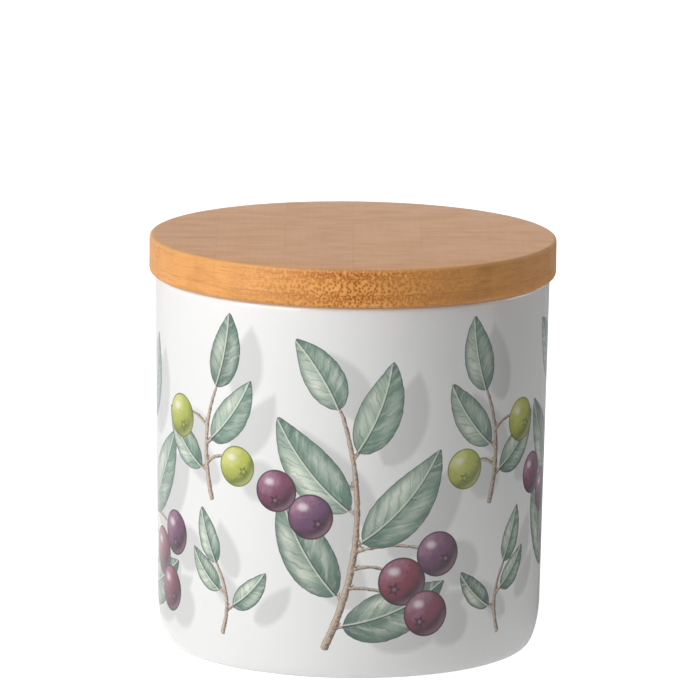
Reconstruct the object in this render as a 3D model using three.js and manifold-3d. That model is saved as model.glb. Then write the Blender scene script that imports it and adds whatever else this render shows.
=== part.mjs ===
// Storage jar: a porcelain jar closed by a turned lid of laminated bamboo, which a silicone ring seals.
// Millimetres, +Z up. The origin is the middle of the jar's foot, on the surface that it stands on.
// The bamboo fibres run along Y, so the lid shows its end grain to the front and to the back.
import * as THREE from "three";
import { mergeVertices } from "three/addons/utils/BufferGeometryUtils.js";
import Module from "manifold-3d";

// Jar: one porcelain shell, a little narrower at the foot than at the rim
const JAR_RADIUS = 50; // outside, at the rim
const JAR_HEIGHT = 95;
const JAR_DRAFT = 1.2; // how much the outside radius loses from the rim down to the heel
const JAR_WALL = 4; // at the rim
const JAR_FLOOR = 5.5; // from the table to the inside floor
const HEEL_WIDTH = 3.6; // the rounded edge between the wall and the foot
const HEEL_HEIGHT = 13;
const FOOT_WIDTH = 3; // the ring that stands on the table
const FOOT_SLOPE = 1; // how far the ring's inner side leans
const FOOT_RECESS = 1.4; // how far the underside inside the ring is lifted
const RIM_ROUND = 1.2; // radius of the mouth's inner and outer edge
const INNER_DRAFT = 1.4; // how much the inside radius loses from the rim down to the corner
const INNER_CORNER = 6; // radius between the inside wall and the floor

// Lid: a board of glued bamboo strips, turned to a disc with a plug under it
const LID_OVERHANG = 1.6; // how far the disc stands out over the jar's rim
const TOP_PLY_HEIGHT = 6.4; // the two plies that the disc's edge shows
const LOWER_PLY_HEIGHT = 3.3;
const PLUG_PLY_HEIGHT = 4.85;
const DISC_PLIES = [ // from the jar's rim up, each split evenly into strips whose seams don't line up
  { name: "lid_lower", strips: 5, height: LOWER_PLY_HEIGHT },
  { name: "lid_top", strips: 6, height: TOP_PLY_HEIGHT },
];
const PLUG_PLIES = [ // from the jar's rim down
  { name: "plug_upper", strips: 4, height: PLUG_PLY_HEIGHT },
  { name: "plug_lower", strips: 5, height: PLUG_PLY_HEIGHT },
];
const GLUE_LINE = 0.1; // between strips and between plies
const BOARD_SPARE = 5; // wood of the glued board outside the turned shape, which the lathe takes off
const LID_ARRIS = 0.8; // radius of the disc's upper edge and of the plug's lower edge
const DISC_UNDER_ROUND = 1.2; // radius of the disc's lower edge
const PLUG_GAP = 2.4; // between the plug and the jar, which the seal bridges
const GROOVE_HEIGHT = 6; // the groove round the plug that holds the seal
const GROOVE_DEPTH = 2.8;

// Seal: a silicone ring with soft lips that lean up and out
const SEAL_PLAY = 0.3; // between the ring and its groove
const SEAL_BAND = 2; // the ring's thickness without its lips
const SEAL_GAP = 0.3; // between the relaxed lips and the jar
const LIP_COUNT = 2;
const LIP_ROOT = 1.3;
const LIP_TIP = 0.6;
const LIP_RISE = 1; // how much higher a lip's tip lies than its root

const ROUND_SEGMENTS = 72;
const ARC_STEPS = 3; // half the number of steps in a rounded edge

// Sizes and places that follow from the above
const innerRimRadius = JAR_RADIUS - JAR_WALL;
const innerCornerTop = JAR_FLOOR + INNER_CORNER;
const lidRadius = JAR_RADIUS + LID_OVERHANG;
const lidBottom = JAR_HEIGHT;
const lidTop = lidBottom + stackHeight(DISC_PLIES);
const plugBottom = lidBottom - stackHeight(PLUG_PLIES);
const plugRadius = innerRimRadius - PLUG_GAP;
const grooveRadius = plugRadius - GROOVE_DEPTH;
const grooveMiddle = (plugBottom + lidBottom) / 2;
const grooveTop = grooveMiddle + GROOVE_HEIGHT / 2;
const grooveBottom = grooveMiddle - GROOVE_HEIGHT / 2;

function stackHeight(plies) {
  return plies.reduce((height, ply) => height + ply.height, 0);
}

// Radius of the jar's inside wall at a height above the inner corner
function innerRadius(height) {
  const share = (JAR_HEIGHT - height) / (JAR_HEIGHT - innerCornerTop);
  return innerRimRadius - INNER_DRAFT * share;
}

const wasm = await Module();
wasm.setup();

const porcelain = { name: "porcelain", color: 0xf3f2ef, roughness: 0.2, metalness: 0 };
const bamboo = { name: "bamboo", color: 0xd9a266, roughness: 0.5, metalness: 0 };
const silicone = { name: "silicone", color: 0xe9e8e4, roughness: 0.45, metalness: 0 };

// A quarter of an ellipse on a profile, anticlockwise from one quarter turn to the next
function roundEdge(path, x, y, width, height, firstQuarter) {
  const start = (firstQuarter * Math.PI) / 2;
  path.absellipse(x, y, width, height, start, start + Math.PI / 2, false);
}

// A profile turned round Z. It runs anticlockwise, with the radius to the right and the height up.
function turned(path) {
  const geometry = new THREE.LatheGeometry(path.getPoints(ARC_STEPS), ROUND_SEGMENTS);
  geometry.rotateX(Math.PI / 2);
  return geometry;
}

function solidFrom(geometry) {
  const bare = geometry.clone();
  bare.deleteAttribute("normal");
  bare.deleteAttribute("uv");
  const merged = mergeVertices(bare);
  return new wasm.Manifold(
    new wasm.Mesh({
      numProp: 3,
      vertProperties: merged.attributes.position.array,
      triVerts: new Uint32Array(merged.index.array),
    }),
  );
}

function geometryFrom(solid) {
  const mesh = solid.getMesh();
  const geometry = new THREE.BufferGeometry();
  geometry.setAttribute("position", new THREE.BufferAttribute(mesh.vertProperties, 3));
  geometry.setIndex(new THREE.BufferAttribute(mesh.triVerts, 1));
  geometry.computeVertexNormals();
  return geometry;
}

function named(name, geometry, finish) {
  const mesh = new THREE.Mesh(geometry, new THREE.MeshStandardMaterial(finish));
  mesh.name = name;
  return mesh;
}

// The shell from the middle of its underside, round the foot, heel, wall and rim, to the inside floor
function jarBody() {
  const heelRadius = JAR_RADIUS - JAR_DRAFT;
  const footRadius = heelRadius - HEEL_WIDTH;
  const footInnerRadius = footRadius - FOOT_WIDTH;
  const cornerRadius = innerRadius(innerCornerTop);
  const path = new THREE.Path();
  path.moveTo(0, FOOT_RECESS);
  path.lineTo(footInnerRadius - FOOT_SLOPE, FOOT_RECESS);
  path.lineTo(footInnerRadius, 0);
  path.lineTo(footRadius, 0);
  roundEdge(path, footRadius, HEEL_HEIGHT, HEEL_WIDTH, HEEL_HEIGHT, 3);
  path.lineTo(JAR_RADIUS, JAR_HEIGHT - RIM_ROUND);
  roundEdge(path, JAR_RADIUS - RIM_ROUND, JAR_HEIGHT - RIM_ROUND, RIM_ROUND, RIM_ROUND, 0);
  path.lineTo(innerRimRadius + RIM_ROUND, JAR_HEIGHT);
  roundEdge(path, innerRimRadius + RIM_ROUND, JAR_HEIGHT - RIM_ROUND, RIM_ROUND, RIM_ROUND, 1);
  path.lineTo(cornerRadius, innerCornerTop);
  path.absarc(cornerRadius - INNER_CORNER, innerCornerTop, INNER_CORNER, 0, -Math.PI / 2, true);
  path.lineTo(0, JAR_FLOOR);
  return named("jar_body", turned(path), porcelain);
}

// The lid as it leaves the lathe: the plug with its groove below, the disc above
function turnedLid() {
  const path = new THREE.Path();
  path.moveTo(0, plugBottom);
  path.lineTo(plugRadius - LID_ARRIS, plugBottom);
  roundEdge(path, plugRadius - LID_ARRIS, plugBottom + LID_ARRIS, LID_ARRIS, LID_ARRIS, 3);
  path.lineTo(plugRadius, grooveBottom);
  path.lineTo(grooveRadius, grooveBottom);
  path.lineTo(grooveRadius, grooveTop);
  path.lineTo(plugRadius, grooveTop);
  path.lineTo(plugRadius, lidBottom);
  path.lineTo(lidRadius - DISC_UNDER_ROUND, lidBottom);
  const underRoundMiddle = lidBottom + DISC_UNDER_ROUND;
  roundEdge(path, lidRadius - DISC_UNDER_ROUND, underRoundMiddle, DISC_UNDER_ROUND, DISC_UNDER_ROUND, 3);
  path.lineTo(lidRadius, lidTop - LID_ARRIS);
  roundEdge(path, lidRadius - LID_ARRIS, lidTop - LID_ARRIS, LID_ARRIS, LID_ARRIS, 0);
  path.lineTo(0, lidTop);
  return solidFrom(turned(path));
}

// The block of the board that one strip takes, without the glue round it
function stripBlock(left, right, bottom, top) {
  const length = 3 * lidRadius;
  const geometry = new THREE.BoxGeometry(right - left, length, top - bottom);
  geometry.translate((left + right) / 2, 0, (bottom + top) / 2);
  return solidFrom(geometry);
}

// The strips of one ply, from left to right, between two heights of the board
function plyStrips(lid, ply, radius, bottom, top) {
  const halfGlue = GLUE_LINE / 2;
  const stripWidth = (2 * radius) / ply.strips;
  return Array.from({ length: ply.strips }, (_, i) => {
    const seam = i * stripWidth - radius;
    const left = i === 0 ? seam - BOARD_SPARE : seam + halfGlue;
    const right = seam + stripWidth + (i === ply.strips - 1 ? BOARD_SPARE : -halfGlue);
    const strip = lid.intersect(stripBlock(left, right, bottom, top));
    return named(`${ply.name}_strip_${i + 1}`, geometryFrom(strip), bamboo);
  });
}

// The bamboo lid: plies stacked up from the rim make the disc that shows, those stacked down the plug.
// The glue between two plies lies on the lower one, so that the disc's underside meets the rim.
function lidStrips() {
  const lid = turnedLid();
  const group = new THREE.Group();
  let level = lidBottom;
  DISC_PLIES.forEach((ply, i) => {
    const top = level + ply.height;
    const cut = i === DISC_PLIES.length - 1 ? top + BOARD_SPARE : top - GLUE_LINE;
    group.add(...plyStrips(lid, ply, lidRadius, level, cut));
    level = top;
  });
  level = lidBottom;
  PLUG_PLIES.forEach((ply, i) => {
    const bottom = level - ply.height;
    const cut = i === PLUG_PLIES.length - 1 ? bottom - BOARD_SPARE : bottom;
    group.add(...plyStrips(lid, ply, plugRadius, cut, level - GLUE_LINE));
    level = bottom;
  });
  return group;
}

// The ring in the plug's groove: a flat band whose lips reach out almost to the jar's wall
function sealRing() {
  const inside = grooveRadius + SEAL_PLAY;
  const outside = inside + SEAL_BAND;
  const bottom = grooveBottom + SEAL_PLAY;
  const top = grooveTop - SEAL_PLAY;
  const pitch = (top - bottom) / LIP_COUNT;
  const path = new THREE.Path();
  path.moveTo(inside, bottom);
  for (let lip = 0; lip < LIP_COUNT; lip++) {
    const root = bottom + lip * pitch;
    const tip = root + LIP_RISE;
    path.lineTo(outside, root);
    path.lineTo(innerRadius(tip) - SEAL_GAP, tip);
    path.lineTo(innerRadius(tip) - SEAL_GAP, tip + LIP_TIP);
    path.lineTo(outside, root + LIP_ROOT);
  }
  path.lineTo(outside, top);
  path.lineTo(inside, top);
  path.closePath();
  return named("seal_ring", turned(path), silicone);
}

const jar = new THREE.Group();
jar.add(jarBody(), sealRing(), lidStrips());

export default jar;
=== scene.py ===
"""Storage jar: the looks of a printed porcelain jar with a turned bamboo lid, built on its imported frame."""

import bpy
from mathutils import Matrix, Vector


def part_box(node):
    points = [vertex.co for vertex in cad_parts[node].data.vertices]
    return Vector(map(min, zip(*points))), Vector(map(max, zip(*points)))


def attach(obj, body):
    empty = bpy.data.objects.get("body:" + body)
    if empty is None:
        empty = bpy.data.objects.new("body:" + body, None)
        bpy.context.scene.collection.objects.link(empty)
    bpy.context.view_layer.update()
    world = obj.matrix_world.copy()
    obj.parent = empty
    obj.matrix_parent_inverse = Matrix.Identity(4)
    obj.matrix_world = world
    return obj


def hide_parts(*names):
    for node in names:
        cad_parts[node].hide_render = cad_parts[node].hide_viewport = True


bl_info = {
    "name": "Storage Jar",
    "version": (1, 0, 0),
    "blender": (4, 5, 0),
    "location": "3D View > Sidebar > Storage Jar",
    "description": "Builds a printed porcelain storage jar with a turned bamboo lid and a silicone seal",
    "category": "Object",
}

import math

import bmesh
import bpy
import numpy as np
from bpy.props import FloatProperty, FloatVectorProperty, IntProperty, PointerProperty
from mathutils import Matrix, Vector

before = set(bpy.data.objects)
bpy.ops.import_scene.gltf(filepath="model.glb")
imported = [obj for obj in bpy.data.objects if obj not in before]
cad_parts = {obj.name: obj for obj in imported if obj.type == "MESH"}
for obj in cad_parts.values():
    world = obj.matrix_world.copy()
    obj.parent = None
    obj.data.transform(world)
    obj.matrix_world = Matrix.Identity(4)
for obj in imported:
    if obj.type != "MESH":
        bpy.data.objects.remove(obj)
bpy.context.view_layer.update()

MM = 0.001

# Sizes that the frame gives
RIM_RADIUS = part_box("jar_body")[1][0]
JAR_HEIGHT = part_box("jar_body")[1][2]
LID_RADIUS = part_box("lid_lower_strip_5")[1][0]
LID_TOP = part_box("lid_top_strip_1")[1][2]
PLUG_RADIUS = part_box("plug_lower_strip_5")[1][0]
SEAL_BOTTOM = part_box("seal_ring")[0][2]
SEAL_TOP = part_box("seal_ring")[1][2]
SEAL_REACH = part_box("seal_ring")[1][0]
PLIES = ("plug_lower", "plug_upper", "lid_lower", "lid_top")  # from the lowest up
PLY_BOTTOMS = np.array([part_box(f"{ply}_strip_1")[0][2] for ply in PLIES])


def length(name, description, millimetres):
    """A size that a user may change, given in millimetres and kept in metres."""
    return FloatProperty(
        name=name, description=description, default=millimetres * MM, min=0.0, precision=5, unit="LENGTH"
    )


def angle(name, description, radians):
    """An angle that a user may change."""
    return FloatProperty(name=name, description=description, default=radians, subtype="ANGLE")


def colour(name, description, red, green, blue):
    """A colour that a user may change, given in the usual 0 to 255 screen values and kept as linear light."""
    screen = np.array((red, green, blue)) / 255
    linear = np.where(screen <= 0.04045, screen / 12.92, ((screen + 0.055) / 1.055) ** 2.4)
    return FloatVectorProperty(
        name=name, description=description, default=linear.tolist(), size=3, min=0.0, max=1.0, subtype="COLOR"
    )


class JarShape(bpy.types.PropertyGroup):
    """Sizes of the porcelain shell that the frame's boxes don't tell."""

    draft: length("Draft", "What the outside radius loses from the rim down to the heel", 1.2)
    wall: length("Wall", "Thickness at the rim", 4.0)
    floor: length("Floor", "Height of the inside floor over the table", 5.5)
    heel_width: length("Heel width", "Width of the rounded edge above the foot", 3.6)
    heel_height: length("Heel height", "Height of the rounded edge above the foot", 13.0)
    foot_width: length("Foot width", "Width of the ring that stands on the table", 3.0)
    foot_slope: length("Foot slope", "How far the ring's inner side leans", 1.0)
    foot_recess: length("Foot recess", "How far the underside is lifted inside the ring", 1.4)
    rim_round: length("Rim rounding", "Radius of the mouth's edges", 1.2)
    inner_draft: length("Inner draft", "What the inside radius loses from the rim down to the corner", 1.4)
    inner_corner: length("Inner corner", "Radius between the inside wall and the floor", 6.0)
    columns: IntProperty(name="Columns", description="Steps round the jar", default=560, min=24)
    wall_rows: IntProperty(name="Wall rows", description="Steps up the outside wall", default=112, min=8)


class LidShape(bpy.types.PropertyGroup):
    """Sizes of the turned lid and its seal that the frame's boxes don't tell."""

    arris: length("Arris", "Radius of the disc's upper edge and the plug's lower edge", 0.8)
    under_round: length("Under rounding", "Radius of the disc's lower edge", 1.2)
    groove_play: length("Groove play", "Gap between the seal and its groove", 0.3)
    groove_depth: length("Groove depth", "How deep the seal's groove is turned into the plug", 2.8)
    seam: length("Seam", "Width of the hairline between two glued strips", 0.02)
    ply_seam: length("Ply seam", "Height of the glue line between two plies", 0.04)
    seal_band: length("Seal band", "Thickness of the seal without its lips", 2.0)
    lip_root: length("Lip root", "Thickness of a lip where it leaves the band", 1.3)
    lip_tip: length("Lip tip", "Thickness of a lip at its end", 0.6)
    lip_rise: length("Lip rise", "How much higher a lip's end lies than its root", 1.0)
    seal_round: length("Seal rounding", "Radius of the moulded edges", 0.25)


class PrintColours(bpy.types.PropertyGroup):
    """Colours of the glaze and of the printed sprigs."""

    glaze: colour("Glaze", "White of the glazed porcelain", 240, 240, 239)
    bisque: colour("Bisque", "Unglazed porcelain under the foot", 226, 220, 209)
    shadow: colour("Print shadow", "Grey wash beside the sprigs", 150, 150, 150)
    leaf_pale: colour("Leaf, pale", "Washed-out belly of the leaves", 232, 236, 222)
    leaf_mid: colour("Leaf, middle", "Half of a leaf that catches the light", 164, 186, 168)
    leaf_shade: colour("Leaf, shade", "Half of a leaf that is turned away", 116, 147, 130)
    leaf_deep: colour("Leaf, deep", "Ends, margins and strokes of the leaves", 60, 88, 80)
    leaf_line: colour("Leaf line", "Fine drawn edge and midrib", 66, 70, 62)
    plum: colour("Plum", "Ripe berries, the bluer ones", 104, 70, 106)
    plum_red: colour("Plum, red", "Ripe berries, the redder ones", 134, 52, 66)
    plum_light: colour("Plum, light", "Lit side of the ripe berries", 182, 138, 158)
    plum_dark: colour("Plum, dark", "Shaded side of the ripe berries", 52, 26, 42)
    lime: colour("Lime", "Unripe berries", 178, 184, 78)
    lime_light: colour("Lime, light", "Lit side of the unripe berries", 229, 228, 150)
    lime_dark: colour("Lime, dark", "Shaded side of the unripe berries", 102, 112, 40)
    gleam: colour("Gleam", "Highlight of the berries", 247, 243, 246)
    twig_light: colour("Twig, light", "Lit side of the twigs", 212, 194, 176)
    twig_dark: colour("Twig, dark", "Shaded side of the twigs", 112, 90, 74)


class LidColours(bpy.types.PropertyGroup):
    """Colours of the bamboo and the silicone."""

    bamboo: colour("Bamboo", "Steamed bamboo between its fibre bundles", 230, 153, 78)
    bamboo_pale: colour("Pale bamboo", "Lighter streaks", 243, 182, 114)
    bamboo_gold: colour("Golden bamboo", "Soft wood between the dots of the end grain", 255, 188, 102)
    bamboo_dark: colour("Dark bamboo", "Darker streaks", 142, 69, 24)
    bamboo_dot: colour("Dotted bamboo", "Fibre bundles that the end grain shows", 164, 72, 8)
    silicone: colour("Silicone", "Milky seal", 226, 225, 220)
    silicone_grey: colour("Grey silicone", "Faint clouds in the seal", 214, 212, 205)


class StageSettings(bpy.types.PropertyGroup):
    """The camera, the floor and the light."""

    camera_distance: length("Camera distance", "From the jar's axis to the lens, along the floor", 1806.4)
    camera_height: length("Camera height", "Of the lens over the floor", 418.2)
    camera_aside: length("Camera aside", "How far the lens stands to the left", 7.84)
    camera_pitch: angle("Pitch", "Downward tilt", 0.1878)
    camera_yaw: angle("Yaw", "Turn to the right", 0.0041)
    camera_roll: angle("Roll", "Turn about the view", 0.0125)
    focal_length: FloatProperty(name="Focal length", description="On a 36 mm sensor", default=371.9, min=1.0)
    ambient: FloatProperty(name="Ambient", description="Light from all round", default=0.135, min=0.0)
    floor: colour("Floor", "Colour of the pale floor under the lamps", 232, 232, 232)


# Profiles and meshes


def line(start, end, steps):
    """Points spread evenly on a straight line, with both its ends."""
    return np.linspace(start, end, steps + 1)


def arc(centre, radii, start, end, steps):
    """Points on an ellipse or, with one radius, a circle: the centre plus the radii times the cosine and sine
    of the angle, in degrees."""
    angle = np.radians(np.linspace(start, end, steps + 1))
    return np.add(centre, np.multiply(radii, np.column_stack((np.cos(angle), np.sin(angle)))))


def joined(*stretches):
    """One profile from stretches that meet end to end, without the points that would be there twice."""
    points = np.vstack(stretches)
    moved = np.linalg.norm(np.diff(points, axis=0), axis=1) > 1e-8
    return points[np.concatenate(([True], moved))]


def softened(corners, radius, steps):
    """A closed outline whose corners are parabolas: each starts and ends one radius from its corner."""
    corner = np.asarray(corners, dtype=float)
    back = np.roll(corner, 1, axis=0) - corner
    ahead = np.roll(corner, -1, axis=0) - corner
    back *= np.minimum(radius / np.linalg.norm(back, axis=1), 0.45)[:, None]
    ahead *= np.minimum(radius / np.linalg.norm(ahead, axis=1), 0.45)[:, None]
    share = np.linspace(0.0, 1.0, steps + 1)[None, :, None]
    curve = corner[:, None] + (1 - share) ** 2 * back[:, None] + share ** 2 * ahead[:, None]
    return curve.reshape(-1, 2)


def new_object(name, vertices, faces):
    """A mesh object at the origin, from vertices and lists of corner numbers."""
    mesh = bpy.data.meshes.new(name)
    mesh.from_pydata(vertices, [], faces)
    mesh.validate()
    piece = bpy.data.objects.new(name, mesh)
    bpy.context.scene.collection.objects.link(piece)
    return piece


def shade(piece, sharp_degrees):
    """Smooth shading, with edges that bend more than the angle left sharp."""
    piece.data.shade_smooth()
    piece.data.set_sharp_from_angle(angle=math.radians(sharp_degrees))


def grid_corners(rows, columns, closed_rows):
    """Row and column of every quad's four corners, anticlockwise; the last column joins the first."""
    row, column = np.mgrid[0 : rows if closed_rows else rows - 1, 0:columns]
    row_steps = np.array((0, 0, 1, 1))
    column_steps = np.array((0, 1, 1, 0))
    return row.reshape(-1, 1) + row_steps, column.reshape(-1, 1) + column_steps


def turned_object(name, profile, columns, closed):
    """A profile turned round Z, from the back by the left to the front: x is the radius times the sine
    of the angle, y is minus the radius times its cosine, and z is the profile's height. An open
    profile starts and ends on the axis, where a fan of triangles meets in one point."""
    radius, height = profile.T if closed else profile[1:-1].T
    rows = len(radius)
    angle = np.linspace(-np.pi, np.pi, columns, endpoint=False)
    x = radius[:, None] * np.sin(angle)
    y = -radius[:, None] * np.cos(angle)
    z = np.broadcast_to(height[:, None], x.shape)
    vertices = np.stack((x, y, z), axis=-1).reshape(-1, 3)

    row, column = grid_corners(rows, columns, closed)
    faces = ((row % rows) * columns + column % columns).tolist()
    travelled = np.concatenate(([0.0], np.cumsum(np.linalg.norm(np.diff(profile, axis=0), axis=1))))
    share = travelled / travelled[-1] if closed else travelled[1:-1] / travelled[-1]
    share_up = np.append(share, 1.0)[row]
    uv = np.stack((column / columns, share_up), axis=-1).reshape(-1, 2)

    if not closed:
        first = np.arange(columns)
        second = (first + 1) % columns
        under = len(vertices)
        fan_under = np.stack((np.full(columns, under), second, first), axis=1)
        last_row = (rows - 1) * columns
        fan_over = np.stack((last_row + first, last_row + second, np.full(columns, under + 1)), axis=1)
        poles = np.column_stack((np.zeros((2, 2)), profile[[0, -1], 1]))
        vertices = np.vstack((vertices, poles))
        faces += fan_under.tolist() + fan_over.tolist()
        left, middle, right = first / columns, (first + 0.5) / columns, (first + 1) / columns
        low, high = np.full(columns, share[0]), np.full(columns, share[-1])
        uv_under = np.stack((middle, 0 * low, right, low, left, low), axis=1).reshape(-1, 2)
        uv_over = np.stack((left, high, right, high, middle, 0 * high + 1), axis=1).reshape(-1, 2)
        uv = np.vstack((uv, uv_under, uv_over))

    piece = new_object(name, vertices, faces)
    layer = piece.data.uv_layers.new(name="OFBake")
    layer.data.foreach_set("uv", uv.ravel())
    return piece


def vertex_places(piece):
    """Places of a mesh's vertices, as an array with one row each."""
    places = np.empty(len(piece.data.vertices) * 3)
    piece.data.vertices.foreach_get("co", places)
    return places.reshape(-1, 3)


def store(piece, name, values):
    """Keeps one number or one triple for each vertex, for the materials to read."""
    values = np.asarray(values, dtype=np.float32)
    if values.ndim == 1:
        piece.data.attributes.new(name, "FLOAT", "POINT").data.foreach_set("value", values)
    else:
        piece.data.attributes.new(name, "FLOAT_VECTOR", "POINT").data.foreach_set("vector", values.ravel())


# Shader nodes

CELL_SCATTER = 0.9


def maths(operation):
    """A method that puts a field and another value through a maths node."""

    def method(self, other=0.0):
        return self.paint.field("ShaderNodeMath", {0: self, 1: other}, operation=operation)

    return method


class Field:
    """A number, a place or a colour that varies over a surface: one output of a shader node. Arithmetic on
    fields and the methods below add more nodes to the same tree."""

    __add__ = maths("ADD")
    __sub__ = maths("SUBTRACT")
    __mul__ = maths("MULTIPLY")
    __truediv__ = maths("DIVIDE")
    __abs__ = maths("ABSOLUTE")
    at_least = maths("MAXIMUM")
    root = maths("SQRT")
    sine = maths("SINE")
    cosine = maths("COSINE")
    bearing = maths("ARCTAN2")
    fraction = maths("FRACT")

    def __init__(self, paint, socket):
        self.paint = paint
        self.socket = socket

    def __rsub__(self, other):
        return self * -1.0 + other

    def span(self, other):
        """Length of the line across a right angle whose sides are the two fields."""
        return (self * self + other * other).root()

    def ramp(self, start, end, low=0.0, high=1.0):
        """Goes smoothly from low at start to high at end, and stays there."""
        inputs = {"Value": self, "From Min": start, "From Max": end, "To Min": low, "To Max": high}
        return self.paint.field("ShaderNodeMapRange", inputs, interpolation_type="SMOOTHSTEP")

    def under(self, above, share):
        """This colour with a share of another one over it."""
        return self.paint.mix(self, above, share)

    def wash(self, above, value, start, end, most=1.0):
        """This colour with another one over it, which grows to its most as a value goes from start to end."""
        return self.under(above, value.ramp(start, end, 0.0, most))

    def parts(self):
        """A place's three coordinates."""
        outputs = self.paint.node("ShaderNodeSeparateXYZ", {0: self}).outputs
        return [Field(self.paint, socket) for socket in outputs]

    def noise(self, scale=1.0, detail=2.0, roughness=0.5):
        """Soft random values over a place."""
        inputs = {"Vector": self, "Scale": scale, "Detail": detail, "Roughness": roughness}
        return self.paint.field("ShaderNodeTexNoise", inputs)

    def cells(self, scale):
        """Distance from a place to the nearest of many points that are scattered in a plane."""
        inputs = {"Vector": self, "Scale": scale, "Randomness": CELL_SCATTER}
        return self.paint.field("ShaderNodeTexVoronoi", inputs, voronoi_dimensions="2D")

    def bump(self, strength, depth):
        """Normals that are bent as if the field were a relief."""
        inputs = {"Height": self, "Strength": strength, "Distance": depth}
        return self.paint.field("ShaderNodeBump", inputs)


class Painter:
    """Adds nodes to the shader tree of a new material or world."""

    def __init__(self, owner):
        owner.use_nodes = True
        self.tree = owner.node_tree
        self.tree.nodes.clear()

    def node(self, kind, inputs, **settings):
        """A node whose inputs are linked to fields or set to constants."""
        node = self.tree.nodes.new(kind)
        for name, value in settings.items():
            setattr(node, name, value)
        for key, value in inputs.items():
            if isinstance(value, Field):
                self.tree.links.new(value.socket, node.inputs[key])
            else:
                node.inputs[key].default_value = value
        return node

    def field(self, kind, inputs, output=0, **settings):
        """One output of a new node."""
        return Field(self, self.node(kind, inputs, **settings).outputs[output])

    def mix(self, below, above, share):
        """One colour with a share of another over it. The mix node's colour sockets go by number, because
        those for other kinds of values have the same names."""
        below, above = (tone if isinstance(tone, Field) else (*tone, 1.0) for tone in (below, above))
        return self.field("ShaderNodeMix", {0: share, 6: below, 7: above}, 2, data_type="RGBA")

    def vector(self, x, y, z):
        return self.field("ShaderNodeCombineXYZ", {0: x, 1: y, 2: z})

    def attribute(self, name, output="Vector"):
        return self.field("ShaderNodeAttribute", {}, output, attribute_name=name)

    def metres(self):
        """The piece's own coordinates."""
        return self.field("ShaderNodeTexCoord", {}, "Object")

    def millimetres(self):
        """The piece's own coordinates, in millimetres."""
        return self.field("ShaderNodeVectorMath", {0: self.metres(), "Scale": 1 / MM}, operation="SCALE")

    def show(self, shader, output="ShaderNodeOutputMaterial"):
        """Makes a shader the surface of the material, or of the world."""
        self.node(output, {"Surface": shader})

    def finish(self, inputs):
        """The material's surface: one principled shader."""
        self.show(self.field("ShaderNodeBsdfPrincipled", inputs))


def new_material(name):
    """An empty material and its painter."""
    material = bpy.data.materials.new(name)
    return material, Painter(material)


# The print: sprigs with leaves and berries, laid out flat in millimetres, across the front and up the wall

PRINT_SEED = 5
PRINT_RADIUS = 49.3
GIRTH = 2 * math.pi * PRINT_RADIUS
PRINT_LAYERS = (0, 1)  # the second is drawn over the first
NOWHERE = 9.0  # an edge this far away doesn't show
SPRIG_COUNT = 4  # of each kind, round the jar
STALK_WIDTHS = (0.9, 0.65)
STALK_ARCH = 4.5  # how far a berry's stalk bends up
LEAF_STALK = 2.4
LEAF_RISE = 0.62  # powers that shape a leaf from its base and from its tip
LEAF_FALL = 0.92
LEAF_VEINS = 7.0
CROWN_TURN = (-2.4, -0.4)  # in radians, from the right of the berry
CROWN_PLACE = 0.45  # in radii from the berry's middle
CROWN_POINTS = 5.0
TWIG_STEPS = 14
TWIG_SLACK = 0.35  # how far a twig's wandering edge may leave its end
SHADOW_SHIFT = (6.5, -3.0)
SHADOW_EDGE = 1.4
SHADOW_STRENGTH = 0.33
BARE_FOOT = (0.42, 0.30)  # heights between which the glaze ends
GLAZE_DEPTH = 0.4 * MM

# Foot: place of the stem's foot. Stem: three points of a curve. Widths: the stem's, at foot and tip.
# Leaves: share of the stem, angle to it, length, width, bend, layer.
# Berries: share of the stem, place from there, radius, redness, layer.
RIPE_SPRIG = {
    "foot": (0, 9),
    "stem": ((-6, 0), (7, 28), (-2, 58)),
    "widths": (2.0, 1.0),
    "leaves": (
        (0.08, -60, 29, 12.5, 0.5, 0),
        (0.20, 60, 30, 13.0, -0.5, 0),
        (0.44, -50, 31, 13.0, 0.55, 0),
        (0.58, 52, 30, 12.5, -0.45, 0),
        (0.82, -44, 25, 11.0, 0.5, 0),
        (1.00, 6, 21, 10.0, 0.35, 0),
    ),
    "berries": (
        (0.34, (13, -3), 6.2, 0.9, 0),
        (0.42, (21.8, -1.1), 5.8, 0.2, 1),
        (0.26, (20.5, -6.9), 5.9, 0.7, 1),
        (0.70, (-11.5, -7.5), 5.8, 0.1, 0),
        (0.70, (-20.5, -1.5), 5.4, 0.5, 1),
    ),
    "unripe": 0.0,
}
GREEN_SPRIG = {
    "foot": (0, 44),
    "stem": ((0, 0), (4, 14), (-1, 26)),
    "widths": (1.6, 0.9),
    "leaves": (
        (0.22, -54, 20, 9.0, 0.5, 1),
        (0.48, 50, 21, 9.0, -0.5, 1),
        (1.00, 0, 20, 9.2, -0.35, 1),
    ),
    "berries": (
        (0.66, (11.0, 1.0), 5.6, 0.0, 0),
        (0.30, (-10.0, 0.5), 5.2, 0.0, 0),
    ),
    "unripe": 1.0,
}
YOUNG_SPRIG = {
    "foot": (4, 10),
    "stem": ((0, 0), (-3, 8), (1, 15)),
    "widths": (1.3, 0.8),
    "leaves": (
        (0.35, 55, 14, 6.2, -0.5, 1),
        (0.60, -50, 14, 6.4, 0.5, 1),
        (1.00, 0, 15, 6.8, 0.3, 0),
    ),
    "berries": (),
    "unripe": 1.0,
}


def around(distance):
    """A distance round the jar, taken the shorter way."""
    return (distance + GIRTH / 2) % GIRTH - GIRTH / 2


def curve_point(points, share):
    """A point on a quadratic curve: its three points weighed by the share of the way."""
    first, middle, last = (np.asarray(point, dtype=float) for point in points)
    share = np.asarray(share, dtype=float)[..., None]
    return (1 - share) ** 2 * first + 2 * share * (1 - share) * middle + share ** 2 * last


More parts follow.
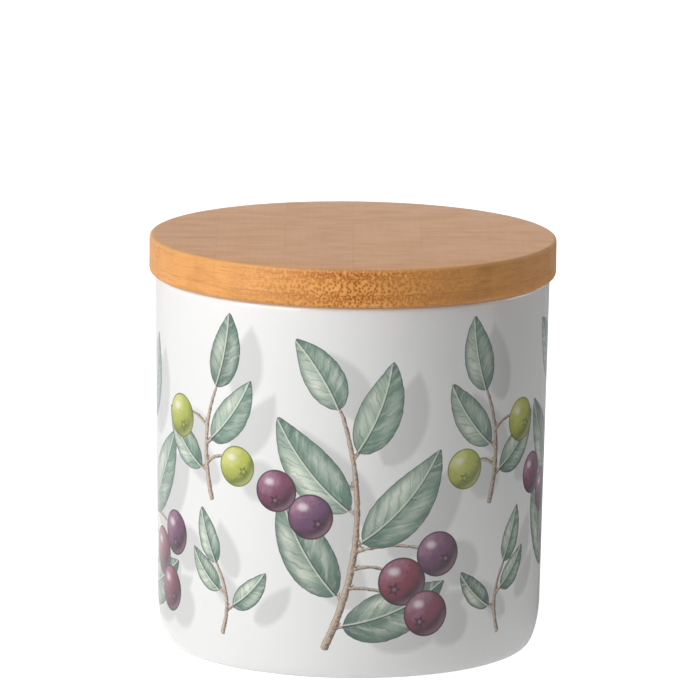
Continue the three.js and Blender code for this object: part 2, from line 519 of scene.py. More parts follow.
def curve_heading(points, share):
    """Direction of a quadratic curve, as an angle from the right."""
    first, middle, last = (np.asarray(point, dtype=float) for point in points)
    way = (1 - share) * (middle - first) + share * (last - middle)
    return math.atan2(way[1], way[0])


def sprig(plan, across, flip):
    """Leaves, berries and twigs of one sprig at its place across the wall; a flip of minus one mirrors it."""
    place = np.array((across, 0.0)) + plan["foot"]
    mirror = np.array((flip, 1.0))

    def on_wall(point):
        return place + mirror * point

    stem = plan["stem"]
    twigs = [([on_wall(np.asarray(point, dtype=float)) for point in stem], plan["widths"])]
    leaves = []
    for share, angle, leaf_length, width, bend, layer in plan["leaves"]:
        heading = curve_heading(stem, share) + math.radians(angle)
        ahead = np.array((math.cos(heading), math.sin(heading)))
        foot = curve_point(stem, share)
        base = foot + LEAF_STALK * ahead
        wall_heading = math.atan2(ahead[1], flip * ahead[0])
        leaves.append((on_wall(base), wall_heading, leaf_length, width, flip * bend, layer))
        twigs.append(([on_wall(foot), on_wall((foot + base) / 2), on_wall(base)], STALK_WIDTHS))
    berries = []
    for share, offset, radius, redness, layer in plan["berries"]:
        foot = curve_point(stem, share)
        centre = foot + np.asarray(offset)
        arch = (foot + centre) / 2 + np.array((0.0, STALK_ARCH))
        berries.append((on_wall(centre), radius, layer, plan["unripe"], redness))
        twigs.append(([on_wall(foot), on_wall(arch), on_wall(centre)], STALK_WIDTHS))
    return leaves, berries, twigs


def print_layout():
    """All the leaves, berries and twigs: ripe sprigs stand round the jar, smaller ones between them."""
    leaves, berries, twigs = [], [], []
    pitch = GIRTH / SPRIG_COUNT
    for number in range(SPRIG_COUNT):
        flip = 1 if number % 2 == 0 else -1
        centre = number * pitch
        between = centre + pitch / 2
        sprigs = (
            sprig(RIPE_SPRIG, centre, 1),
            sprig(GREEN_SPRIG, between, flip),
            sprig(YOUNG_SPRIG, between, flip),
        )
        for parts in sprigs:
            for whole, part in zip((leaves, berries, twigs), parts):
                whole.extend(part)
    return leaves, berries, twigs


def leaf_field(across, up, leaf):
    """How far a point lies outside a leaf's edge, its share of the leaf's length and its distance from the
    midrib. The midrib is an arc: the share is the angle turned on it, and the distance is the arc's
    radius less the distance to its centre. The half width is a power of the share from the base times
    a power of the share from the tip."""
    base, heading, leaf_length, width, bend, _ = leaf
    right = around(across - base[0])
    over = up - base[1]
    ahead = right * math.cos(heading) + over * math.sin(heading)
    left = over * math.cos(heading) - right * math.sin(heading)
    radius = leaf_length / bend
    sign = math.copysign(1.0, radius)
    share = np.arctan2(ahead * sign, (radius - left) * sign) / bend
    side = radius - sign * np.hypot(ahead, radius - left)
    inside = np.clip(share, 0.0, 1.0)
    widest = LEAF_RISE / (LEAF_RISE + LEAF_FALL)
    most = widest ** LEAF_RISE * (1 - widest) ** LEAF_FALL
    half = width / 2 * inside ** LEAF_RISE * (1 - inside) ** LEAF_FALL / most
    beyond = (share - inside) * leaf_length
    edge = np.where(beyond == 0.0, np.abs(side) - half, np.hypot(side, beyond))
    return edge, share, side


def twig_field(across, up, twig):
    """How far a point lies outside a twig, its distance to the side of it and the twig's half width there.
    The twig's curve is taken as short straight steps, and the nearest step counts."""
    points, widths = twig
    path = curve_point(points, np.linspace(0.0, 1.0, TWIG_STEPS + 1))
    steps = np.diff(path, axis=0)
    squares = (steps ** 2).sum(axis=1)
    right = around(across[:, None] - path[None, :-1, 0])
    over = up[:, None] - path[None, :-1, 1]
    within = np.clip((right * steps[:, 0] + over * steps[:, 1]) / squares, 0.0, 1.0)
    gap = np.hypot(right - within * steps[:, 0], over - within * steps[:, 1])
    nearest = gap.argmin(axis=1)
    rows = np.arange(len(across))
    side = steps[nearest, 0] * over[rows, nearest] - steps[nearest, 1] * right[rows, nearest]
    share = (nearest + within[rows, nearest]) / TWIG_STEPS
    half = (widths[0] + (widths[1] - widths[0]) * share) / 2
    return gap[rows, nearest] - half, side / np.sqrt(squares[nearest]), half


def berry_field(across, up, berry):
    """How far a point lies from a berry's middle in all, to the right and up, in radii of the berry."""
    centre, radius, *_ = berry
    right = around(across - centre[0]) / radius
    over = (up - centre[1]) / radius
    return np.hypot(right, over), right, over


def near(wall, centre, reach, field, motif):
    """Numbers of the wall's points that lie in a square round a motif's centre, and its fields there."""
    across, up = wall
    spots = np.flatnonzero((np.abs(around(across - centre[0])) < reach) & (np.abs(up - centre[1]) < reach))
    return spots, *field(across[spots], up[spots], motif)


def keep_nearest(kept, spots, edge, *others):
    """Puts a motif's fields over the kept ones at those spots where its edge is the nearer one."""
    nearer = edge < kept[0][spots]
    for whole, part in zip(kept, (edge, *others)):
        whole[spots[nearer]] = part[nearer] if np.ndim(part) else part


def add_shadow(shadow, spots, edge):
    """Darkens the wall where a motif's shape, moved aside, would lie; the edge fades over a short way."""
    shadow[spots] = np.maximum(shadow[spots], np.clip(0.5 - edge / SHADOW_EDGE, 0.0, 1.0))


def blank(count, fields):
    """Kept fields with nothing in them yet: the first holds a far edge, the others zero."""
    return [np.full(count, NOWHERE)] + [np.zeros(count) for _ in range(fields - 1)]


def print_fields(across, up):
    """Fields for the material, by name: in every layer the nearest motif's own coordinates, and the soft
    shade that all the motifs seem to throw on the wall."""
    leaves, berries, twigs = print_layout()
    generator = np.random.default_rng(PRINT_SEED)
    count = len(across)
    shadow = np.zeros(count)
    leaf_layers = [blank(count, 4) for _ in PRINT_LAYERS]  # edge, share, side, tone
    berry_layers = [blank(count, 6) for _ in PRINT_LAYERS]  # out, right, over, unripe, redness, turn
    twig_kept = blank(count, 3)  # edge, side, half width
    wall = (across, up)
    shaded_wall = (across - SHADOW_SHIFT[0], up - SHADOW_SHIFT[1])
    for leaf in leaves:
        base, _, leaf_length, *_, layer = leaf
        spot = (base, leaf_length + NOWHERE, leaf_field, leaf)
        keep_nearest(leaf_layers[layer], *near(wall, *spot), generator.random())
        shaded, edge, *_ = near(shaded_wall, *spot)
        add_shadow(shadow, shaded, edge)
    for berry in berries:
        centre, radius, layer, *look = berry
        spot = (centre, radius + NOWHERE, berry_field, berry)
        keep_nearest(berry_layers[layer], *near(wall, *spot), *look, generator.uniform(*CROWN_TURN))
        shaded, out, *_ = near(shaded_wall, *spot)
        add_shadow(shadow, shaded, (out - 1) * radius)
    for twig in twigs:
        first, last = np.asarray(twig[0][0]), np.asarray(twig[0][-1])
        reach = np.linalg.norm(last - first) / 2 + NOWHERE
        keep_nearest(twig_kept, *near(wall, (first + last) / 2, reach, twig_field, twig))
    fields = {"twig": np.stack(twig_kept, axis=1), "print_shadow": shadow}
    for layer in PRINT_LAYERS:
        edge, share, side, tone = leaf_layers[layer]
        fields[f"leaf_{layer}"] = np.stack((edge, share, side), axis=1)
        fields[f"leaf_tone_{layer}"] = tone
        out, right, over, *look = berry_layers[layer]
        fields[f"berry_{layer}"] = np.stack((out, right, over), axis=1)
        fields[f"berry_look_{layer}"] = np.stack(look, axis=1)
    return fields


def paint_twigs(paint, below, colours):
    """Grey-brown twigs with a lit side, bark flecks and drawn edges."""
    edge, side, half = paint.attribute("twig").parts()
    place = paint.millimetres()
    flecks = place.noise(1.6, 3.0) - 0.5
    wander = (place.noise(0.7) - 0.5) * 0.5
    outside = (abs(side) - half + wander).at_least(edge - TWIG_SLACK)
    lit = side / half + flecks * 2.2
    fill = paint.mix(colours.twig_dark, colours.twig_light, lit.ramp(-0.9, 0.7))
    fill = fill.wash(colours.twig_dark, outside, -0.25, -0.02, 0.7)
    return below.wash(fill, outside, 0.07, -0.07)


def paint_leaves(paint, below, colours, layer):
    """Leaves as a watercolour: a lit and a shaded half, a pale belly, deep ends and margins, brush strokes
    along faint side veins, a drawn midrib with light beside it and a drawn edge."""
    edge, share, side = paint.attribute(f"leaf_{layer}").parts()
    tone = paint.attribute(f"leaf_tone_{layer}", "Fac")
    place = paint.millimetres()
    wander = place.noise(0.5) - 0.5
    edge = edge + wander * 0.5
    out = abs(side)
    reach = out / (out - edge).at_least(0.05)
    rank = share * LEAF_VEINS - out * 0.32 + wander * 0.7
    strokes = paint.vector(rank * 2.4, side * 0.3, tone * 40.0).noise(1.0, 3.0, 0.55)
    clouds = place.noise(0.13, 3.0)

    lit = side.ramp(-0.7, 0.7)
    fill = paint.mix(colours.leaf_shade, colours.leaf_mid, lit)
    fill = fill.wash(colours.leaf_deep, tone, 0.45, 0.95, 0.55)
    belly = abs(share - 0.46).ramp(0.36, 0.06) * abs(reach - 0.52).ramp(0.46, 0.05)
    pale = belly * clouds.ramp(0.32, 0.66, 0.30, 1.0) * lit.ramp(0.0, 1.0, 0.45, 0.95)
    fill = fill.under(colours.leaf_pale, pale)
    fill = fill.wash(colours.leaf_deep, abs(share - 0.5), 0.26, 0.52, 0.6)
    fill = fill.wash(colours.leaf_pale, strokes, 0.46, 0.74, 0.38)
    fill = fill.wash(colours.leaf_deep, strokes, 0.48, 0.22, 0.40)

    from_vein = abs(rank.fraction() - 0.5)
    veins = from_vein.ramp(0.11, 0.02, 0.0, 0.34) * reach.ramp(0.98, 0.55)
    fill = fill.under(colours.leaf_deep, veins)
    fill = fill.wash(colours.leaf_deep, reach, 0.66, 1.0, 0.42)
    fill = fill.wash(colours.leaf_pale, abs(side - 0.42), 0.30, 0.06, 0.65)
    fill = fill.wash(colours.leaf_line, out + share * 0.12, 0.30, 0.10, 0.80)
    outline = edge.ramp(-0.34, -0.06) * clouds.ramp(0.3, 0.7, 0.55, 0.95)
    fill = fill.under(colours.leaf_line, outline)
    return below.wash(fill, edge, 0.07, -0.07)


def paint_berries(paint, below, colours, layer):
    """Berries painted as balls lit from the upper left: cloudy body colour, a bloom, a soft highlight, warm
    light thrown back along the lower edge, a small dark star for the crown and a drawn edge."""
    out, right, over = paint.attribute(f"berry_{layer}").parts()
    unripe, redness, turn = paint.attribute(f"berry_look_{layer}").parts()
    place = paint.millimetres()
    bloom = place.noise(1.5, 4.0, 0.65) - 0.5
    cloud = place.noise(0.33) - 0.5
    facing = (1.0 - out * out).at_least(0.0).root()
    light_side = right * -0.50 + over * 0.58
    lit = light_side + facing * 0.64 + bloom * 0.35 + cloud * 0.55

    ripe = paint.mix(colours.plum, colours.plum_red, redness)
    light = paint.mix(colours.plum_light, colours.lime_light, unripe)
    dark = paint.mix(colours.plum_dark, colours.lime_dark, unripe)
    fill = ripe.under(colours.lime, unripe)
    fill = fill.wash(dark, lit, 0.55, -0.10, 0.95)
    fill = fill.wash(light, lit, 0.55, 1.10, 0.75)
    thrown_back = out.ramp(0.58, 0.90) * light_side.ramp(-0.20, -0.75, 0.0, 0.42)
    fill = fill.under(light, thrown_back)
    from_spot = (right + 0.34).span((over - 0.42) * 1.35)
    gleam = from_spot.ramp(0.36, 0.06, 0.0, 0.62) + bloom * 0.25
    fill = fill.under(colours.gleam, gleam * from_spot.ramp(0.40, 0.30))
    crown_right = right - turn.cosine() * CROWN_PLACE
    crown_over = over - turn.sine() * CROWN_PLACE
    from_crown = crown_right.span(crown_over)
    bearing = crown_over.bearing(crown_right)
    star = from_crown * (1.0 - (bearing * CROWN_POINTS).cosine() * 0.32)
    fill = fill.wash(dark, star, 0.24, 0.15, 0.80)
    fill = fill.wash(light, from_crown, 0.11, 0.04, 0.45)
    fill = fill.wash(dark, out, 0.90, 0.98, 0.85)
    return below.wash(fill, out, 1.012, 0.988)


def porcelain_material(colours):
    """Glossy white glaze over the print; matt bisque where the foot was wiped clean."""
    material, paint = new_material("printed_porcelain")
    place = paint.millimetres()
    height = place.parts()[2]
    shadow = paint.attribute("print_shadow", "Fac") * SHADOW_STRENGTH
    fill = paint.mix(colours.glaze, colours.shadow, shadow)
    fill = paint_twigs(paint, fill, colours)
    for paint_motifs in (paint_leaves, paint_berries):
        for layer in PRINT_LAYERS:
            fill = paint_motifs(paint, fill, colours, layer)
    bare = (height + place.noise(0.9) * 0.25).ramp(*BARE_FOOT)
    grit = place.noise(6.0, 3.0)
    fill = fill.under(paint.mix(colours.bisque, colours.glaze, grit), bare)
    pull = place.noise(0.11)
    roughness = pull.ramp(0.3, 0.7, 0.10, 0.16) + bare * 0.55
    normal = (pull + bare * grit * 0.08).bump(0.25, GLAZE_DEPTH)
    paint.finish({"Base Color": fill, "Roughness": roughness, "Normal": normal})
    return material


# The porcelain shell

UNDERSIDE_STEPS = 4
FOOT_STEPS = 3
HEEL_STEPS = 20
RIM_STEPS = 5
INSIDE_STEPS = 7
FOOT_BEVEL = 0.3  # share of the foot's slope that its two edges lose


def jar_profile(shape):
    """The shell's section as radius and height, from the middle of its underside, round the foot, heel, wall
    and rim, to the middle of its inside floor."""
    heel_radius = RIM_RADIUS - shape.draft
    foot_radius = heel_radius - shape.heel_width
    foot_inner = foot_radius - shape.foot_width
    foot_top = foot_inner - shape.foot_slope
    bevel = FOOT_BEVEL * shape.foot_slope
    recess = shape.foot_recess
    rim_low = JAR_HEIGHT - shape.rim_round
    inner_rim = RIM_RADIUS - shape.wall
    corner_radius = inner_rim - shape.inner_draft
    corner_top = shape.floor + shape.inner_corner
    corner_middle = corner_radius - shape.inner_corner
    return joined(
        line((0.0, recess), (foot_top - bevel, recess), UNDERSIDE_STEPS),
        line((foot_top, recess - bevel), (foot_inner, bevel), FOOT_STEPS),
        line((foot_inner + bevel, 0.0), (foot_radius, 0.0), FOOT_STEPS),
        arc((foot_radius, shape.heel_height), (shape.heel_width, shape.heel_height), -90, 0, HEEL_STEPS),
        line((heel_radius, shape.heel_height), (RIM_RADIUS, rim_low), shape.wall_rows),
        arc((RIM_RADIUS - shape.rim_round, rim_low), shape.rim_round, 0, 90, RIM_STEPS),
        arc((inner_rim + shape.rim_round, rim_low), shape.rim_round, 90, 180, RIM_STEPS),
        line((inner_rim, rim_low), (corner_radius, corner_top), INSIDE_STEPS),
        arc((corner_middle, corner_top), shape.inner_corner, 0, -90, INSIDE_STEPS),
        line((corner_middle, shape.floor), (0.0, shape.floor), UNDERSIDE_STEPS),
    )


class STORAGEJAR_OT_shell(bpy.types.Operator):
    """Build the printed porcelain shell"""

    bl_idname = "storage_jar.shell"
    bl_label = "Porcelain Shell"

    def execute(self, context):
        shape = context.scene.jar_shape
        profile = jar_profile(shape)
        piece = turned_object("porcelain_shell", profile, shape.columns, closed=False)
        shade(piece, sharp_degrees=40)
        places = vertex_places(piece) / MM
        outside = np.arange(len(places)) < profile[1:-1, 1].argmax() * shape.columns
        across = PRINT_RADIUS * np.arctan2(places[:, 0], -places[:, 1])
        up = np.where(outside, places[:, 2], -GIRTH)
        for name, values in print_fields(across, up).items():
            store(piece, name, values)
        piece.data.materials.append(porcelain_material(context.scene.print_colours))
        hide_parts("jar_body")
        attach(piece, "jar")
        return {"FINISHED"}


# The seal

LIP_COUNT = 2
SEAL_COLUMNS = 288
SEAL_ROUND_STEPS = 3
LINT_DEPTH = 0.1 * MM
GLOW_DEPTHS = (1.2 * MM, 1.1 * MM, 1.0 * MM)  # how far red, green and blue light goes in silicone


def seal_profile(lid):
    """The ring's section: a flat band with lips that lean up and out, its moulded edges rounded."""
    inside = PLUG_RADIUS - lid.groove_depth + lid.groove_play
    outside = inside + lid.seal_band
    pitch = (SEAL_TOP - SEAL_BOTTOM) / LIP_COUNT
    corners = [(inside, SEAL_BOTTOM)]
    for lip in range(LIP_COUNT):
        root = SEAL_BOTTOM + lip * pitch
        tip = root + lid.lip_rise
        corners += [(outside, root), (SEAL_REACH, tip)]
        corners += [(SEAL_REACH, tip + lid.lip_tip), (outside, root + lid.lip_root)]
    corners += [(outside, SEAL_TOP), (inside, SEAL_TOP)]
    return softened(corners, lid.seal_round, SEAL_ROUND_STEPS)


def silicone_material(colours):
    """Milky silicone: soft light in its body, a dull moulded skin with a little lint."""
    material, paint = new_material("milky_silicone")
    place = paint.millimetres()
    fill = paint.mix(colours.silicone, colours.silicone_grey, place.noise(0.25).ramp(0.3, 0.7, 0.0, 0.5))
    lint = place.noise(5.0, 3.0, 0.7)
    paint.finish({
        "Base Color": fill,
        "Roughness": lint.ramp(0.3, 0.7, 0.38, 0.52),
        "Normal": lint.bump(0.12, LINT_DEPTH),
        "Subsurface Weight": 0.35,
        "Subsurface Radius": GLOW_DEPTHS,
        "Subsurface Scale": 1.0,
    })
    return material


class STORAGEJAR_OT_seal(bpy.types.Operator):
    """Build the silicone sealing ring"""

    bl_idname = "storage_jar.seal"
    bl_label = "Sealing Ring"

    def execute(self, context):
        profile = seal_profile(context.scene.lid_shape)
        piece = turned_object("sealing_ring", profile, SEAL_COLUMNS, closed=True)
        shade(piece, sharp_degrees=50)
        piece.data.materials.append(silicone_material(context.scene.lid_colours))
        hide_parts("seal_ring")
        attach(piece, "seal")
        return {"FINISHED"}


# The lid's strips

FLAT_SHARES = np.array((0.0, 0.35, 0.7))  # where the loops on a strip's flat sides lie, from the middle out
STRIP_COLUMNS = 26
ARRIS_STEPS = 5
SIDE_STEPS = 2
MERGE_REACH = 0.002 * MM
SLIVER = 0.001 * MM
LID_SEED = 11
STRIP_VARIETY = (60.0, 9.0, 1.0)  # the most of each strip's seed, its shift in millimetres and its tone
KNUCKLE_SPREAD = 11.0  # millimetres that a knuckle moves for each millimetre of a strip's shift
KNUCKLE_MIDDLE = 50.0  # what that comes to where a knuckle lies in the lid's middle
FIBRE_DEPTH = 0.06 * MM


def ply_sides(lid):
    """Each ply's name, its turned radius and its side from bottom to top, as radius and height."""
    groove = PLUG_RADIUS - lid.groove_depth
    groove_bottom = SEAL_BOTTOM - lid.groove_play
    groove_top = SEAL_TOP + lid.groove_play
    tops = np.append(PLY_BOTTOMS[1:] - lid.ply_seam, LID_TOP)
    plug_bottom, plug_middle, disc_bottom, disc_middle = PLY_BOTTOMS
    under_top = disc_bottom + lid.under_round
    head_bottom = LID_TOP - lid.arris
    plug_foot = arc((PLUG_RADIUS - lid.arris, plug_bottom + lid.arris), lid.arris, -90, 0, ARRIS_STEPS)
    disc_foot = arc((LID_RADIUS - lid.under_round, under_top), lid.under_round, -90, 0, ARRIS_STEPS)
    disc_head = arc((LID_RADIUS - lid.arris, head_bottom), lid.arris, 0, 90, ARRIS_STEPS)
    lower_side = line((LID_RADIUS, under_top), (LID_RADIUS, tops[2]), SIDE_STEPS)
    top_side = line((LID_RADIUS, disc_middle), (LID_RADIUS, head_bottom), SIDE_STEPS)
    plug_lower = [(PLUG_RADIUS, groove_bottom), (groove, groove_bottom), (groove, tops[0])]
    plug_upper = [(groove, plug_middle), (groove, groove_top)]
    plug_upper += [(PLUG_RADIUS, groove_top), (PLUG_RADIUS, tops[1])]
    radii = (PLUG_RADIUS, PLUG_RADIUS, LID_RADIUS, LID_RADIUS)
    sides = (
        joined(plug_foot, plug_lower),
        np.array(plug_upper),
        joined(disc_foot, lower_side),
        joined(top_side, disc_head),
    )
    return zip(PLIES, radii, sides)


def strip_object(name, left, right, side):
    """One strip of a turned ply. At every place x across, its section runs out from the middle along the
    bottom, up the turned side and back along the top, and is mirrored front to back. A point of the
    side with radius r lies at y, the root of r squared less x squared; where the turned edge ends
    before x, the section closes in the middle, at the height where the side reaches the radius x."""
    radius, height = side.T
    widest = radius.max()
    bends = np.arcsin(np.clip((left / widest, right / widest), -1.0, 1.0))
    x = widest * np.sin(np.linspace(*bends, STRIP_COLUMNS))[:, None]
    first_wide, last_wide = radius.argmax(), len(radius) - 1 - radius[::-1].argmax()
    lowest = np.interp(np.abs(x), radius[: first_wide + 1], height[: first_wide + 1])
    highest = np.interp(np.abs(x), radius[last_wide:][::-1], height[last_wide:][::-1])

    flats = len(FLAT_SHARES)
    radius, height = np.pad(side, ((flats, flats), (0, 0)), mode="edge").T
    share = np.concatenate((FLAT_SHARES, np.ones(len(side)), FLAT_SHARES[::-1]))
    half_y = share * np.sqrt(np.maximum(radius ** 2 - x ** 2, 0.0))
    half_z = np.clip(height, lowest, highest)
    y = np.hstack((half_y, -half_y[:, -2:0:-1]))
    z = np.hstack((half_z, half_z[:, -2:0:-1]))
    loop = y.shape[1]
    vertices = np.stack((np.broadcast_to(x, y.shape), y, z), axis=-1).reshape(-1, 3)
    row, column = grid_corners(STRIP_COLUMNS, loop, False)
    faces = (row * loop + column % loop).tolist()
    faces.append(list(range(loop)))
    faces.append(list(range(loop * STRIP_COLUMNS - 1, loop * (STRIP_COLUMNS - 1) - 1, -1)))
    piece = new_object(name, vertices, faces)
    tidy = bmesh.new()
    tidy.from_mesh(piece.data)
    bmesh.ops.remove_doubles(tidy, verts=tidy.verts, dist=MERGE_REACH)
    bmesh.ops.dissolve_degenerate(tidy, edges=tidy.edges, dist=SLIVER)
    bmesh.ops.recalc_face_normals(tidy, faces=tidy.faces)
    tidy.to_mesh(piece.data)
    tidy.free()
    return piece


def bamboo_material(colours):
    """Steamed bamboo as a solid: fibre bundles run front to back, crowded towards the top of each ply, so
    they show as dots on the end grain and as faint streaks elsewhere. Faint knuckles cross the strips, and
    a satin oil finish lies over it all."""
    material, paint = new_material("oiled_bamboo")
    x, y, z = paint.millimetres().parts()
    seed, shift, tone = paint.attribute("strip").parts()
    skin = paint.attribute("skin_side", "Fac")
    radius = x.span(y)
    outwards = radius - paint.attribute("turned_radius", "Fac")
    turned = outwards.ramp(-0.8, -0.3)
    end_grain = turned * (abs(x) / radius).ramp(0.78, -0.22, 0.0, 1.14)

    across = x + shift + paint.vector(x * 0.10, y * 0.012, seed).noise() * 1.1
    rise = z + paint.vector(x * 0.5, y * 0.02, seed).noise() * 1.6
    ragged = paint.vector(across, rise, seed).noise(1.3)
    torn = paint.vector(rise, across, seed).noise(1.3)
    section = paint.vector(across + ragged * 0.9, rise * 0.85 + torn * 0.9, 0.0)
    loose = section.cells(1.15).ramp(0.62, 0.06) * 0.95
    crowded = section.cells(1.30).ramp(0.70, 0.10) * skin.ramp(0.20, 0.85)
    bundles = loose.at_least(crowded)

    fibres = paint.vector(across * 3.2, y * 0.05, rise * 3.2).noise(1.0, 3.0, 0.6)
    figure = paint.vector(x * 0.10, y * 0.22, z * 0.22 + seed * 0.006).noise(1.0, 3.0, 0.55)
    streaks = paint.vector(x * 0.16, y * 0.16, z * 2.6).noise(1.0, 3.0, 0.6) * turned
    bent = paint.vector(x * 0.22, 0.0, seed).noise() * 5.0
    from_knuckle = y - (shift * KNUCKLE_SPREAD - KNUCKLE_MIDDLE) + bent
    # Paler along the top arris: partly sanding wear, partly a painted highlight where the edge catches the
    # light.
    arris_wear_and_highlight = z.ramp(LID_TOP / MM - 0.9, LID_TOP / MM - 0.3) * outwards.ramp(-1.1, -0.6)

    fill = paint.mix(colours.bamboo, colours.bamboo_pale, fibres.ramp(0.30, 0.72, 0.34, 0.48))
    fill = fill.under(colours.bamboo_pale, (turned - end_grain) * 0.30)
    fill = fill.under(colours.bamboo_gold, end_grain * 0.9)
    fill = fill.wash(colours.bamboo_dark, figure, 0.38, 0.70, 0.14)
    fill = fill.wash(colours.bamboo_pale, abs(from_knuckle - 2.4), 2.2, 0.3, 0.18)
    fill = fill.wash(colours.bamboo_dark, abs(from_knuckle), 1.7, 0.3, 0.13)
    fill = fill.wash(colours.bamboo_dark, streaks, 0.45, 0.75, 0.30)
    fill = fill.under(colours.bamboo_dot, bundles * (end_grain * 0.96 + 0.03))
    fill = fill.wash(colours.bamboo_dark, tone, 0.0, 1.0, 0.05)
    # Painted highlight and wear along the top arris.
    fill = fill.under(colours.bamboo_pale, arris_wear_and_highlight * 0.5)
    roughness = figure.ramp(0.3, 0.7, 0.36, 0.42) + turned * 0.10
    relief = fibres * 0.12 - bundles * end_grain * 0.9
    normal = relief.bump(0.18, FIBRE_DEPTH)
    paint.finish({"Base Color": fill, "Roughness": roughness, "Normal": normal, "Specular IOR Level": 0.3})
    return material


class STORAGEJAR_OT_lid(bpy.types.Operator):
    """Build the bamboo lid, strip by strip"""

    bl_idname = "storage_jar.lid"
    bl_label = "Bamboo Lid"

    def execute(self, context):
        lid = context.scene.lid_shape
        material = bamboo_material(context.scene.lid_colours)
        generator = np.random.default_rng(LID_SEED)
        for ply, ply_radius, side in ply_sides(lid):
            nodes = sorted(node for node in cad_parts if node.startswith(ply))
            seams = np.linspace(-ply_radius, ply_radius, len(nodes) + 1)
            for node, left, right in zip(nodes, seams[:-1], seams[1:]):
                piece = strip_object(f"bamboo_{node}", left + lid.seam / 2, right - lid.seam / 2, side)
                shade(piece, sharp_degrees=32)
                height = vertex_places(piece)[:, 2]
                depth = (height - side[0, 1]) / (side[-1, 1] - side[0, 1])
                store(piece, "skin_side", depth)
                store(piece, "turned_radius", np.full(len(height), ply_radius / MM))
                seed = generator.random(3) * STRIP_VARIETY
                store(piece, "strip", np.tile(seed, (len(height), 1)))
                piece.data.materials.append(material)
                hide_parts(node)
                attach(piece, "lid")
        return {"FINISHED"}


# The stage

FLOOR_REACH = 6.0
FLOOR_GAP = 0.05 * MM
FLOOR_GLOW = 0.87
BOUNCE_PLACE = (0.11, -0.03)  # the patch of the floor that glows, as painted bounce light
BOUNCE_REACH = 0.16
BOUNCE_GLOW = 0.40
DIM_ASIDE = (0.02, 0.05)  # places between which gloss starts to show the floor dimmer
DIM_BACK = (-0.10, 0.05)
DIM_LEFT = 0.40
DIM_RIGHT = 0.95
SENSOR_WIDTH = 36.0
VIEW_REACH = 100.0

# Azimuth and elevation in degrees, distance and width in metres, power in watts, and whether gloss shows it.
# Azimuth 0 is at the camera's side, 90 to its right.
LAMPS = {
    "key": (-51, 24, 1.1, 0.8, 10.4, True),
    "edge": (112, 18, 1.2, 0.5, 1.5, True),
    "back": (180, 4, 1.3, 0.8, 5.0, False),
}


def seen_directly(paint):
    """Two fields: one is 1 for rays from the camera or through glass, the other for rays off gloss."""
    rays = paint.node("ShaderNodeLightPath", {}).outputs
    names = ("Is Camera Ray", "Is Transmission Ray", "Is Glossy Ray")
    camera, through, glossy = (Field(paint, rays[name]) for name in names)
    return camera.at_least(through), glossy


def floor_material(stage):
    """A pale matt floor that is white where it is seen, apart from the jar's shadow. Beside and behind the
    jar gloss shows it dimmer, so that the jar's edges stand out, and a patch of it at the jar's dark
    side glows as painted bounce light, which lights the wall. From below it is clear."""
    material, paint = new_material("pale_floor")
    x, y, _ = paint.metres().parts()
    dim_right = x.ramp(*DIM_ASIDE, 0.0, DIM_RIGHT)
    dim_left = x.ramp(*(-aside for aside in DIM_ASIDE), 0.0, DIM_LEFT)
    dimmed = 1.0 - y.ramp(*DIM_BACK) * (dim_right + dim_left)
    from_patch = (x - BOUNCE_PLACE[0]).span(y - BOUNCE_PLACE[1])
    # Painted bounce light: the floor glows here, for all rays that are neither seen directly nor glossy.
    patch = from_patch.ramp(BOUNCE_REACH, 0.0, 0.0, BOUNCE_GLOW)
    seen, glossy = seen_directly(paint)
    white = (seen + glossy * dimmed) * FLOOR_GLOW
    other_light = 1.0 - seen - glossy
    glow = paint.field("ShaderNodeEmission", {"Strength": white + other_light * patch})
    matt = paint.field("ShaderNodeBsdfDiffuse", {"Color": (*stage.floor, 1.0)})
    both = paint.field("ShaderNodeAddShader", {0: matt, 1: glow})
    clear = paint.field("ShaderNodeBsdfTransparent", {})
    from_below = paint.field("ShaderNodeNewGeometry", {}, "Backfacing")
    paint.show(paint.field("ShaderNodeMixShader", {0: from_below, 1: both, 2: clear}))
    return material


def white_world(stage):
    """White where it is seen, and a soft light of the set strength on everything."""
    world = bpy.data.worlds.new("studio")
    paint = Painter(world)
    seen, glossy = seen_directly(paint)
    strength = seen.at_least(glossy) * (1.0 - stage.ambient) + stage.ambient
    light = paint.field("ShaderNodeBackground", {"Color": (1.0, 1.0, 1.0, 1.0), "Strength": strength})
    paint.show(light, "ShaderNodeOutputWorld")
    return world


def soft_box(name, azimuth, elevation, distance, width, power, in_gloss):
    """A square lamp that faces the jar."""
    lamp = bpy.data.lights.new(name, "AREA")
    lamp.size = width
    lamp.energy = power
    box = bpy.data.objects.new(name, lamp)
    turn, rise = math.radians(azimuth), math.radians(elevation)
    way = Vector((math.sin(turn) * math.cos(rise), -math.cos(turn) * math.cos(rise), math.sin(rise)))
    box.location = way * distance + Vector((0.0, 0.0, JAR_HEIGHT / 2))
    box.rotation_euler = way.to_track_quat("Z", "Y").to_euler()
    box.visible_glossy = in_gloss
    bpy.context.scene.collection.objects.link(box)


def photo_camera(stage):
    """The camera: it faces along Y, and is rolled, tilted down, turned to the right and put in its place."""
    data = bpy.data.cameras.new("camera")
    data.lens = stage.focal_length
    data.sensor_width = SENSOR_WIDTH
    data.clip_end = VIEW_REACH
    camera = bpy.data.objects.new("camera", data)
    place = Vector((-stage.camera_aside, -stage.camera_distance, stage.camera_height))
    camera.matrix_world = (
        Matrix.Translation(place)
        @ Matrix.Rotation(-stage.camera_yaw, 4, "Z")
        @ Matrix.Rotation(math.pi / 2 - stage.camera_pitch, 4, "X")
        @ Matrix.Rotation(stage.camera_roll, 4, "Z")
    )
    bpy.context.scene.collection.objects.link(camera)
    bpy.context.scene.camera = camera


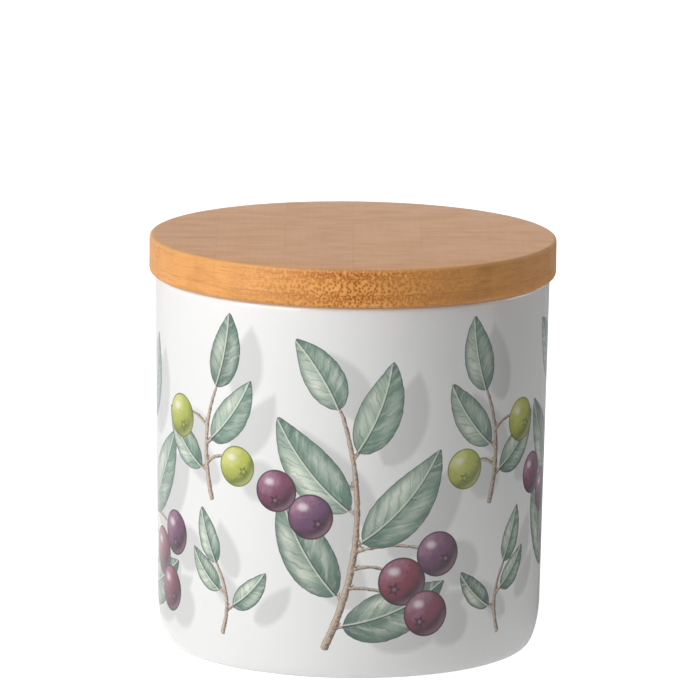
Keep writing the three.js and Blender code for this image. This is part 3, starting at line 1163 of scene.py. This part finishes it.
class STORAGEJAR_OT_stage(bpy.types.Operator):
    """Set the floor, the light and the camera"""

    bl_idname = "storage_jar.stage"
    bl_label = "Stage"

    def execute(self, context):
        scene = context.scene
        stage = scene.stage_settings
        reach = np.array(((-1, -1), (1, -1), (1, 1), (-1, 1))) * FLOOR_REACH
        floor = new_object("floor", np.column_stack((reach, np.full(4, -FLOOR_GAP))), [[0, 1, 2, 3]])
        floor.data.materials.append(floor_material(stage))
        scene.world = white_world(stage)
        for name, settings in LAMPS.items():
            soft_box(name, *settings)
        photo_camera(stage)
        scene.view_settings.view_transform = "Standard"
        return {"FINISHED"}


class STORAGEJAR_PT_panel(bpy.types.Panel):
    """The jar's steps and sizes"""

    bl_idname = "STORAGEJAR_PT_panel"
    bl_label = "Storage Jar"
    bl_space_type = "VIEW_3D"
    bl_region_type = "UI"
    bl_category = "Storage Jar"

    def draw(self, context):
        layout = self.layout
        for operator in OPERATORS:
            layout.operator(operator.bl_idname)
        for name in SETTINGS:
            group = getattr(context.scene, name)
            column = layout.column(align=True)
            for key in group.bl_rna.properties.keys():
                if key not in ("rna_type", "name"):
                    column.prop(group, key)


OPERATORS = (STORAGEJAR_OT_shell, STORAGEJAR_OT_seal, STORAGEJAR_OT_lid, STORAGEJAR_OT_stage)
SETTINGS = {
    "jar_shape": JarShape,
    "lid_shape": LidShape,
    "print_colours": PrintColours,
    "lid_colours": LidColours,
    "stage_settings": StageSettings,
}


def register():
    for name, group in SETTINGS.items():
        bpy.utils.register_class(group)
        setattr(bpy.types.Scene, name, PointerProperty(type=group))
    for item in (*OPERATORS, STORAGEJAR_PT_panel):
        bpy.utils.register_class(item)


def unregister():
    for item in (STORAGEJAR_PT_panel, *reversed(OPERATORS)):
        bpy.utils.unregister_class(item)
    for name, group in reversed(SETTINGS.items()):
        delattr(bpy.types.Scene, name)
        bpy.utils.unregister_class(group)


def main():
    register()
    bpy.ops.storage_jar.shell()
    bpy.ops.storage_jar.seal()
    bpy.ops.storage_jar.lid()
    bpy.ops.storage_jar.stage()


if __name__ == "__main__":
    main()
